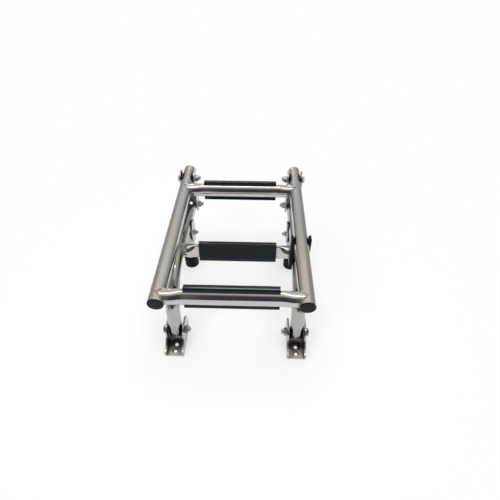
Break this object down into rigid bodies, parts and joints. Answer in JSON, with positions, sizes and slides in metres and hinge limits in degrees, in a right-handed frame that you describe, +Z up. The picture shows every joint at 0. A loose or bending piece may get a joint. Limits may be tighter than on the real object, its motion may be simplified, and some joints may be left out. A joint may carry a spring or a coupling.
{
  "type": "folding boat ladder",
  "caption": "Folding boat ladder of bent polished tube with clip-on black treads, double-pivot hinge links, stand-off legs with rubber feet and screw-down base brackets.",
  "frame": {"origin": "on the surface it stands on, under the middle of the folded rails and half way between them", "axes": "+X to the ladder's right seen from the free rail ends, +Y from the free rail ends towards the hinge, +Z up"},
  "size_m": [0.2746, 0.365, 0.2013],
  "materials": {
    "polished_tube": "polished stainless steel tube",
    "channel_steel": "satin to polished stainless steel sheet",
    "fastener_steel": "polished stainless steel",
    "tread_rubber": "ribbed black moulding",
    "foot_rubber": "dull black rubber",
    "black_plastic": "smooth black moulding"
  },
  "bodies": {
    "brackets": {"bracket_left": "channel_steel", "bracket_bolt_left": "fastener_steel", "bracket_nut_left": "fastener_steel", "bracket_right": "channel_steel", "bracket_bolt_right": "fastener_steel", "bracket_nut_right": "fastener_steel"},
    "upper_section": {"arm_left": "polished_tube", "leg_left": "polished_tube", "foot_left": "foot_rubber", "leg_saddle_left": "channel_steel", "leg_bolt_left": "fastener_steel", "leg_nut_left": "fastener_steel", "arm_right": "polished_tube", "leg_right": "polished_tube", "foot_right": "foot_rubber", "leg_saddle_right": "channel_steel", "leg_bolt_right": "fastener_steel", "leg_nut_right": "fastener_steel", "middle_rung": "polished_tube", "middle_tread": "tread_rubber", "rail_clip": "black_plastic"},
    "hinge_links": {"hinge_link_left": "channel_steel", "rail_bolt_left": "fastener_steel", "rail_nut_left": "fastener_steel", "arm_bolt_left": "fastener_steel", "arm_nut_left": "fastener_steel", "hinge_link_right": "channel_steel", "rail_bolt_right": "fastener_steel", "rail_nut_right": "fastener_steel", "arm_bolt_right": "fastener_steel", "arm_nut_right": "fastener_steel"},
    "lower_section": {"rail_left": "polished_tube", "near_cap_left": "black_plastic", "far_cap_left": "black_plastic", "rail_right": "polished_tube", "near_cap_right": "black_plastic", "far_cap_right": "black_plastic", "near_rung": "polished_tube", "far_rung": "polished_tube", "near_tread": "tread_rubber", "far_tread": "tread_rubber"}
  },
  "joints": [
    {"name": "bracket_pivot", "type": "hinge", "parent": "brackets", "child": "upper_section", "pos_m": [0, -0.12913, 0.031], "axis": [1, 0, 0], "range_deg": [-80, 100]},
    {"name": "arm_hinge", "type": "hinge", "parent": "upper_section", "child": "hinge_links", "pos_m": [0, 0.1525, 0.112], "axis": [-1, 0, 0], "range_deg": [0, 90]},
    {"name": "rail_hinge", "type": "hinge", "parent": "hinge_links", "child": "lower_section", "pos_m": [0, 0.1525, 0.182], "axis": [-1, 0, 0], "range_deg": [0, 90]}
  ]
}
